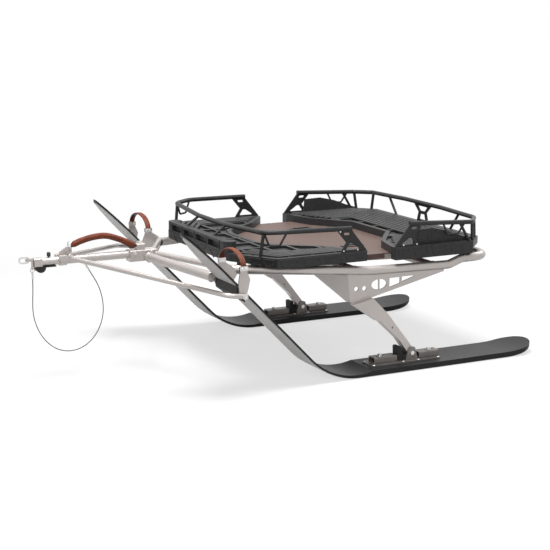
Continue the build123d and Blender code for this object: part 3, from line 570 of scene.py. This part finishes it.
def front_tray_strakes(work):
    for inset, start in front_strakes:
        corner = (chamfer_start.x - chamfer_mitre * inset, tray_half_width - inset)
        end = chamfer_end + chamfer_inward * inset + chamfer_setback
        path = [(start, corner[1]), corner, (end.x, end.y)]
        for side in (-1, 1):
            strake(work, [Vector((fore(x), side * y, 0)) for x, y in path])


def rear_tray_strakes(work):
    for inset, start in rear_strakes:
        corner = (rear_corner_station + rear_mitre[0] * inset, tray_half_width - inset)
        turn = (rear_turn[0] + inset, rear_turn[1] - rear_mitre[1] * inset)
        bends = [corner, turn] if inset < square_from else [(turn[0], corner[1])]
        half = [(start, corner[1])] + bends
        whole = half + [(x, -y) for x, y in half[::-1]]
        strake(work, [Vector((fore(x), y, 0)) for x, y in whole])


new_piece("front_tray_strakes", front_tray_strakes, tray_plastic)
new_piece("rear_tray_strakes", rear_tray_strakes, tray_plastic)


# Moulded shields stand on the rear tray behind the rail, and shallow framed panels stiffen every outer wall.
# All are part of the same charcoal moulding, with the rims of the panels standing 2 mm proud.
rim_sink = 0.001
sharpest_mitre = 0.3


def slab(work, outline, place, depth):
    """A flat plate of this outline, from its face back to a depth."""
    face = [work.verts.new(place(u, v, 0)) for u, v in outline]
    back = [work.verts.new(place(u, v, -depth)) for u, v in outline]
    work.faces.new(face)
    work.faces.new(back[::-1])
    for index in range(len(face)):
        work.faces.new((face[index - 1], face[index], back[index], back[index - 1]))


def border(work, outline, rim, place):
    """A raised rim inside an outline, as wide all round and with sloped sides."""
    count = len(outline)
    middle = sum((Vector(point) for point in outline), Vector((0, 0))) / count
    width, rise = rim
    slope = rise / 2
    loops = []
    for inset, height in (
        (0, -rim_sink), (0, slope), (slope, rise), (width - slope, rise), (width, slope), (width, -rim_sink),
    ):
        loop = []
        for index, point in enumerate(outline):
            spot = Vector(point)
            before = (spot - Vector(outline[index - 1])).normalized()
            ahead = (Vector(outline[(index + 1) % count]) - spot).normalized()
            normal = Vector((-before.y, before.x)) + Vector((-ahead.y, ahead.x))
            normal = normal.normalized()
            normal /= max(sharpest_mitre, normal.dot(Vector((-before.y, before.x))))
            if normal.dot(middle - spot) < 0:
                normal = -normal
            moved = spot + normal * inset
            loop.append(work.verts.new(place(moved.x, moved.y, height)))
        loops.append(loop)
    skin(work, loops, closed=True)


shield_face = 0.4985
shield_depth = 0.006
# Rims are pairs: how wide they are and how proud they stand.
shield_rim = (0.006, 0.002)
side_rim = (0.005, 0.0018)
front_rim = (0.006, 0.0022)
chamfer_rim = (0.005, 0.002)
# Columns: station and level.
shield_outline = [
    (0.086, 0.5215), (0.079, 0.586), (-0.008, 0.589), (-0.085, 0.571), (-0.145, 0.548), (-0.200, 0.531),
    (-0.206, 0.5215),
]
shield_windows = [
    [(0.066, 0.529), (0.060, 0.579), (0.006, 0.582), (0.012, 0.529)],
    [(-0.002, 0.529), (-0.006, 0.580), (-0.070, 0.566), (-0.056, 0.529)],
    [(-0.070, 0.529), (-0.084, 0.562), (-0.142, 0.541), (-0.150, 0.529)],
]
panel_top = 0.517
panel_lean = 0.012
# Columns: stations of a side panel's front and rear, and level of its foot.
side_panels = [
    (0.176, 0.108, 0.476), (0.098, 0.020, 0.476), (0.010, -0.076, 0.476), (-0.086, -0.160, 0.476),
    (0.732, 0.640, 0.486), (0.630, 0.540, 0.486), (0.530, 0.440, 0.486), (0.430, 0.340, 0.486),
]


def rear_tray_shields(work):
    for side in (-1, 1):
        def place(station, level, rise):
            return Vector((fore(station), side * (shield_face + rise), level))

        slab(work, shield_outline, place, shield_depth)
        for window in shield_windows:
            border(work, window, shield_rim, place)


def tray_wall_panels(work):
    for side in (-1, 1):
        def place(station, level, rise):
            return Vector((fore(station), side * (tray_half_width + rise), level))

        for start, end, low in side_panels:
            top = [(start, panel_top), (end + panel_lean, panel_top)]
            border(work, top + [(end, low), (start - panel_lean, low)], side_rim, place)


front_face = 0.876
front_panel_middles = (-0.195, -0.065, 0.065, 0.195)
front_panel_half = 0.060
front_panel_levels = (0.526, 0.564)
gusset_half = 0.058
gusset_levels = (0.484, 0.519)
chamfer_panel_starts = (0.012, 0.080, 0.148)
chamfer_panel_length = 0.058
chamfer_panel_low = 0.486


def front_wall_panels(work):
    def face_place(across, level, rise):
        return Vector((fore(front_face + rise), across, level))

    low, high = front_panel_levels
    tip, brow = gusset_levels
    for middle in front_panel_middles:
        left, right = middle - front_panel_half, middle + front_panel_half
        border(work, [(left, high), (right, high), (right, low), (left, low)], front_rim, face_place)
        gusset = [(middle - gusset_half, brow), (middle + gusset_half, brow), (middle, tip)]
        border(work, gusset, front_rim, face_place)
    along = (chamfer_end - chamfer_start).normalized()
    normal = Vector((-along.y, along.x, 0))
    for side in (-1, 1):
        def place(reach, level, rise):
            spot = chamfer_start + along * reach + normal * rise
            return Vector((fore(spot.x), side * spot.y, level))

        for start in chamfer_panel_starts:
            end = start + chamfer_panel_length
            outline = [
                (start, panel_top), (end, panel_top),
                (end - panel_lean, chamfer_panel_low), (start + panel_lean, chamfer_panel_low),
            ]
            border(work, outline, chamfer_rim, place)


new_piece("rear_tray_shields", rear_tray_shields, tray_plastic)
new_piece("tray_wall_panels", tray_wall_panels, tray_plastic)
new_piece("front_wall_panels", front_wall_panels, tray_plastic)


# The rack rails are black powder-coated tubes with their posts and hooks welded on.
# The coat has a fine orange peel and catches the light softly.
def rail_finish():
    material, shader, place = finish("rail_coat", {"Specular IOR Level": 0.35})
    peel = place.noise(500, 2)
    cloud = place.noise(7, 3)
    cloud.mix((0.010, 0.010, 0.011), (0.034, 0.034, 0.036)).into(shader, "Base Color")
    (cloud * 0.2 + 0.30).into(shader, "Roughness")
    peel.bump(0.0004, 0.45).into(shader, "Normal")
    return material


rail_coat = rail_finish()
dress(rail_coat, "front_rail", "rear_rail", "rail_brackets")


# Black plastic and rubber: the pull knob, hand-hole liners, bumper, bump stops and ski saddles.
# The rubber is matt with a chalky bloom, the plastic a little brighter.
def rubber_finish():
    material, shader, place = finish("black_rubber", {"Specular IOR Level": 0.35})
    bloom = place.noise(35, 4)
    grain = place.noise(1100, 2)
    bloom.mix((0.008, 0.008, 0.009), (0.035, 0.034, 0.034)).into(shader, "Base Color")
    (bloom * 0.3 + 0.5).into(shader, "Roughness")
    grain.bump(0.0004, 0.5).into(shader, "Normal")
    return material


def knob_finish():
    material, shader, place = finish("black_knob", {"Specular IOR Level": 0.5})
    cloud = place.noise(40, 3)
    cloud.mix((0.012, 0.012, 0.013), (0.035, 0.035, 0.037)).into(shader, "Base Color")
    (cloud * 0.2 + 0.25).into(shader, "Roughness")
    place.noise(1500, 1).bump(0.0002, 0.4).into(shader, "Normal")
    return material


dress(rubber_finish(), "nose_bumper", *both("bump_stop", "saddle"))
dress(knob_finish(), "pin_knob", "deck_handles")


# The skis are black moulded plastic with a satin top that carries fine lengthwise scratches,
# over a pale running sole that is streaked by use.
def ski_finish():
    material, shader, place = finish("ski_plastic", {"Specular IOR Level": 0.14})
    streak = place.stretched(3, 90, 20).noise(6, 5, 0.65)
    cloud = place.noise(4, 3)
    (cloud * 0.4 + (streak ** 2) * 0.9).mix((0.010, 0.010, 0.011), (0.050, 0.050, 0.052)).into(
        shader, "Base Color"
    )
    (streak * 0.3 + 0.22).into(shader, "Roughness")
    streak.bump(0.0005, 0.5).into(shader, "Normal")
    return material


def sole_finish():
    material, shader, place = finish("sole_plastic", {"Specular IOR Level": 0.5})
    streak = place.stretched(2, 120, 20).noise(6, 5, 0.7)
    cloud = place.noise(3, 3)
    (cloud * 0.5 + streak * 0.5).mix((0.50, 0.485, 0.47), (0.86, 0.84, 0.82)).into(shader, "Base Color")
    (streak * 0.3 + 0.25).into(shader, "Roughness")
    streak.bump(0.0004, 0.5).into(shader, "Normal")
    return material


dress(ski_finish(), *both("ski"))
dress(sole_finish(), *both("ski_sole"))


# The pull handle is a padded roll of brown saddle leather, sewn closed along its underside,
# flattened where it is wrapped round the ring in front and bolted to the socket behind.
def leather_finish():
    constants = {"Specular IOR Level": 0.3}
    material, shader, place = finish("saddle_leather", constants)
    pebble = place.node(
        "ShaderNodeTexVoronoi", {"feature": "DISTANCE_TO_EDGE"}, {"Vector": place, "Scale": 420}
    )
    cloud = place.noise(26, 4)
    crease = place.noise(110, 4, 0.7)
    tone = cloud * 0.75 + crease * 0.35
    tone.mix((0.045, 0.009, 0.003), (0.260, 0.050, 0.015)).into(shader, "Base Color")
    (cloud * 0.35 + 0.28).into(shader, "Roughness")
    (pebble * 3.0 + crease * 0.5).bump(0.0009, 0.55).into(shader, "Normal")
    return material


def thread_finish():
    material, shader, place = finish("waxed_thread", {"Specular IOR Level": 0.4})
    ply = place.noise(2500, 1)
    ply.mix((0.19, 0.075, 0.03), (0.42, 0.22, 0.11)).into(shader, "Base Color")
    (ply * 0.2 + 0.5).into(shader, "Roughness")
    ply.bump(0.0003, 0.6).into(shader, "Normal")
    return material


saddle_leather = leather_finish()
waxed_thread = thread_finish()


def through(points, steps):
    """Points along a smooth line that passes through each of the given points."""
    line = []
    padded = [points[0] * 2 - points[1]] + points + [points[-1] * 2 - points[-2]]
    for a, b, c, d in zip(padded, padded[1:], padded[2:], padded[3:]):
        for step in range(steps):
            t = step / steps
            bow = 2 * a - 5 * b + 4 * c - d
            twist = 3 * b - a - 3 * c + d
            line.append(0.5 * (2 * b + (c - a) * t + bow * t * t + twist * t ** 3))
    return line + [points[-1]]


def band(work, line, across, size_at, roundness, sides=28):
    """A closed strap or roll along a line: size_at gives half width and half thickness along it."""
    rings = []
    count = len(line)
    for index, centre in enumerate(line):
        way = (line[min(index + 1, count - 1)] - line[max(index - 1, 0)]).normalized()
        out = Vector(across).cross(way).normalized()
        wide, thick = size_at(index / (count - 1))
        ring = []
        for side in range(sides):
            turn = math.tau * side / sides
            c, s = math.cos(turn), math.sin(turn)
            u = math.copysign(abs(c) ** roundness, c) * wide
            v = math.copysign(abs(s) ** roundness, s) * thick
            ring.append(work.verts.new(centre + Vector(across) * u + out * v))
        rings.append(ring)
    skin(work, rings)


# Columns: share of a stitch's thickness, and share of its length from its middle.
stitch_profile = [(0.3, -0.5), (0.85, -0.36), (1.0, 0.0), (0.85, 0.36), (0.3, 0.5)]


def stitches(work, line, pitch, length, thickness):
    """A row of thread stitches that lie on a line of points."""
    walked = 0.0
    due = pitch / 2
    for start, end in zip(line, line[1:]):
        run = (end - start).length
        while due < walked + run:
            spot = start.lerp(end, (due - walked) / run)
            way = (end - start).normalized()
            spun(work, spot, way, [(r * thickness, h * length) for r, h in stitch_profile], sides=8)
            due += pitch
        walked += run


handle_route = [
    (1.4335, 0.5475), (1.412, 0.557), (1.385, 0.5665), (1.335, 0.5772), (1.280, 0.5785), (1.228, 0.5625),
    (1.186, 0.5435), (1.162, 0.5315), (1.150, 0.5255),
]
handle_half = 0.013
handle_ease = 0.10
handle_end_width = 0.86
handle_end_depth = 0.50
handle_roundness = 0.9
handle_steps = 10
# The two rows of stitches lie this far out and down, as shares of the roll's half thickness.
seam_out = 0.93
seam_down = 0.32
seam_trim = 6
# Stitches are given as pitch, length and half thickness.
handle_stitch = (0.0075, 0.0052, 0.0008)


def handle_size(share):
    """Rolled and full in the middle, drawn in and flatter at both ends."""
    full = min(1.0, share / handle_ease, (1 - share) / handle_ease)
    ease = full * full * (3 - 2 * full)
    wide, thick = [end + (1 - end) * ease for end in (handle_end_width, handle_end_depth)]
    return handle_half * wide, handle_half * thick


def handle_line():
    """The middle line of the roll."""
    return through([Vector((fore(x), 0, z)) for x, z in handle_route], handle_steps)


def pull_handle(work):
    band(work, handle_line(), (0, 1, 0), handle_size, handle_roundness)


def handle_stitches(work):
    line = handle_line()[seam_trim:-seam_trim]
    for side in (1, -1):
        offset = Vector((0, side * handle_half * seam_out, -handle_half * seam_down))
        stitches(work, [point + offset for point in line], *handle_stitch)


handle = new_piece("leather_pull_handle", pull_handle, saddle_leather)
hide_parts("pull_handle")
new_piece("handle_stitching", handle_stitches, waxed_thread)


# Each ski strap is a stiff arch of the same leather, 24 mm wide, with a sewn line inside each edge.
# Its ends are gripped by the plated clamps on top of the stirrup, with two rivets through each.
strap_station = 0.932
strap_foot = 0.518
strap_span = 0.1015
strap_rise = 0.058
strap_half_width = 0.012
strap_half_depth = 0.0040
strap_roundness = 0.62
strap_steps = 48
strap_seam_edge = 0.0085
strap_seam_lift = 0.86
strap_seam_trim = 4
strap_seam_drop = 0.03
strap_stitch = (0.0062, 0.0043, 0.0006)
clamp_rivet = (0.0036, 0.0024)
clamp_rivet_level = 0.515
clamp_rivet_shift = 0.0065
clamp_reach = 0.006


def strap_line(side):
    """The middle line of a strap over the ski on one side."""
    return [
        Vector((
            fore(strap_station),
            side * ski_middle + strap_span * math.cos(math.pi * step / strap_steps),
            strap_foot + strap_rise * math.sin(math.pi * step / strap_steps),
        ))
        for step in range(strap_steps + 1)
    ]


def strap_piece(side):
    def build(work):
        size = (strap_half_width, strap_half_depth)
        band(work, strap_line(side), (1, 0, 0), lambda share: size, strap_roundness)

    return build


def strap_stitches(side):
    def build(work):
        middle = Vector((fore(strap_station), side * ski_middle, strap_foot - strap_seam_drop))
        for edge in (-strap_seam_edge, strap_seam_edge):
            run = []
            for point in strap_line(side)[strap_seam_trim:-strap_seam_trim]:
                out = (point - middle).normalized()
                run.append(point + out * strap_half_depth * strap_seam_lift + Vector((edge, 0, 0)))
            stitches(work, run, *strap_stitch)

    return build


def clamp_rivets(work):
    for side in (-1, 1):
        for end in (-1, 1):
            outer = side * ski_middle + end * (strap_span + clamp_reach)
            for shift in (-clamp_rivet_shift, clamp_rivet_shift):
                place = (fore(strap_station) + shift, outer, clamp_rivet_level)
                dome_head(work, place, (0, end, 0), *clamp_rivet)


for side, word in ((1, "left"), (-1, "right")):
    strap = new_piece("leather_strap_" + word, strap_piece(side), saddle_leather)
    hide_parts("strap_" + word)
    new_piece("strap_stitching_" + word, strap_stitches(side), waxed_thread)
new_piece("clamp_rivets", clamp_rivets, zinc_plate)


# The floor is a pale seamless sheet that keeps the sled's soft shadow and runs into a white surround.
# The world and three wide soft lamps light the sled evenly, the brightest from above.
white = (1.0, 1.0, 1.0)
floor_reach = 60
floor_grey = 0.36
floor_glow = 0.64
shadow_start = 1.3
shadow_end = 3.2


def to_the_eye(start):
    """One on rays that show a thing straight, mirrored or through glass, and zero on rays that light it."""
    straight, mirrored, through_glass = [
        start.node("ShaderNodeLightPath", output=ray)
        for ray in ("Is Camera Ray", "Is Glossy Ray", "Is Transmission Ray")
    ]
    return straight + mirrored + through_glass


def floor_finish():
    constants = {
        "Base Color": (floor_grey, floor_grey, floor_grey, 1), "Roughness": 0.8, "Specular IOR Level": 0.1,
        "Emission Strength": 1.0,
    }
    material, shader, place = finish("studio_floor", constants)
    seen = to_the_eye(place)
    seen.mix((0.0, 0.0, 0.0), (floor_glow, floor_glow, floor_glow)).into(shader, "Emission Color")
    glow = place.node("ShaderNodeEmission", {}, {"Color": white})
    far = place.node("ShaderNodeVectorMath", {"operation": "LENGTH"}, {0: place}, "Value")
    share = place.node(
        "ShaderNodeMapRange", {"interpolation_type": "SMOOTHSTEP"},
        {"Value": far, "From Min": shadow_start, "From Max": shadow_end},
    )
    sheet = Wire(place.tree, shader.outputs[0])
    mixed = place.node("ShaderNodeMixShader", {}, {0: 1 - share * seen, 1: glow, 2: sheet})
    mixed.into(place.tree.nodes["Material Output"], "Surface")
    return material


floor_mesh = bpy.data.meshes.new("floor")
floor_corners = [(x * floor_reach, y * floor_reach, 0) for x, y in ((-1, -1), (1, -1), (1, 1), (-1, 1))]
floor_mesh.from_pydata(floor_corners, [], [(0, 1, 2, 3)])
floor_mesh.materials.append(floor_finish())
floor = bpy.data.objects.new("floor", floor_mesh)
bpy.context.scene.collection.objects.link(floor)

sky_grey = (0.17, 0.17, 0.173, 1)
world = bpy.data.worlds.new("studio")
world.use_nodes = True
sky = world.node_tree.nodes["Background"]
sky.inputs["Color"].default_value = sky_grey
surround = Wire(world.node_tree)
bright = surround.node("ShaderNodeBackground", {}, {"Color": white})
dim = Wire(world.node_tree, sky.outputs[0])
shown = surround.node("ShaderNodeMixShader", {}, {0: to_the_eye(surround), 1: dim, 2: bright})
shown.into(world.node_tree.nodes["World Output"], "Surface")
bpy.context.scene.world = world

# Columns: place, aim, width, height and power of each lamp.
lamps = {
    "top_lamp": ((0.3, 0.4, 4.2), (0, 0, 0.2), 2.0, 1.5, 195),
    "left_lamp": ((2.4, 3.8, 2.4), (0, 0, 0.3), 1.8, 1.2, 44),
    "back_lamp": ((-3.9, -1.0, 3.2), (0, 0, 0.4), 2.4, 1.2, 46),
}
for name, (place, aim, width, height, power) in lamps.items():
    light = bpy.data.lights.new(name, "AREA")
    light.shape = "RECTANGLE"
    light.size = width
    light.size_y = height
    light.energy = power
    lamp = bpy.data.objects.new(name, light)
    lamp.location = place
    lamp.rotation_mode = "QUATERNION"
    lamp.rotation_quaternion = (Vector(aim) - Vector(place)).to_track_quat("-Z", "Y")
    bpy.context.scene.collection.objects.link(lamp)

bpy.context.scene.view_settings.view_transform = "Standard"
